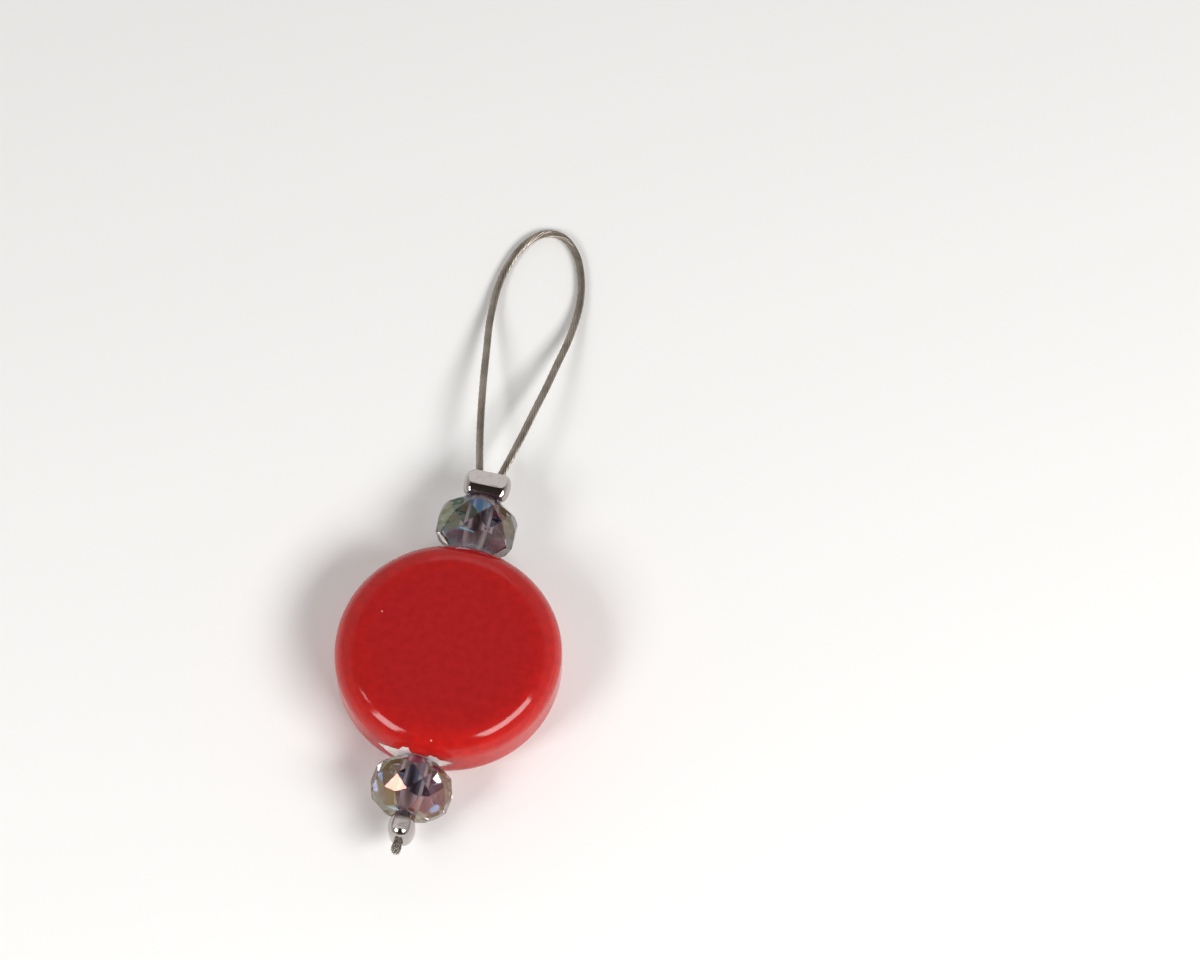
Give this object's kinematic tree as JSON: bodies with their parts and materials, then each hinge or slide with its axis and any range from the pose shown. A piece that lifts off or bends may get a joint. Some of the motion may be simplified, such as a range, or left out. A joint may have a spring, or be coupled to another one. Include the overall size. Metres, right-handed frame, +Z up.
{
  "type": "stitch marker",
  "caption": "Dangling stitch marker: a steel cable loop for the needle, crimps, cut glass crystals and a glazed ceramic disc that turn on the cable.",
  "frame": {"origin": "on the table that the marker lies on, under the string and level with the ceramic disc's middle", "axes": "+Y along the string towards the loop, +Z up through the disc, +X across"},
  "size_m": [0.022, 0.0692, 0.008],
  "materials": {
    "cable": "stranded stainless steel wire, clear coated",
    "crimp": "silver plated metal, polished and pressed",
    "crystal": "cut and polished smoky glass with a faint rainbow coat",
    "glaze": "gloss red glaze, bare pale clay round the hole"
  },
  "bodies": {
    "string": {"cable_loop": "cable", "cable_tails": "cable", "upper_crimp": "crimp", "lower_crimp": "crimp"},
    "upper_bead": {"upper_crystal": "crystal"},
    "disc_bead": {"ceramic_disc": "glaze"},
    "lower_bead": {"lower_crystal": "crystal"}
  },
  "joints": [
    {"name": "upper_bead_spin", "type": "hinge", "parent": "string", "child": "upper_bead", "pos_m": [0, 0.01375, 0.004], "axis": [0, 1, 0], "continuous": true},
    {"name": "disc_spin", "type": "hinge", "parent": "string", "child": "disc_bead", "pos_m": [0, 0, 0.004], "axis": [0, 1, 0], "continuous": true},
    {"name": "lower_bead_spin", "type": "hinge", "parent": "string", "child": "lower_bead", "pos_m": [0, -0.01375, 0.004], "axis": [0, 1, 0], "continuous": true}
  ]
}
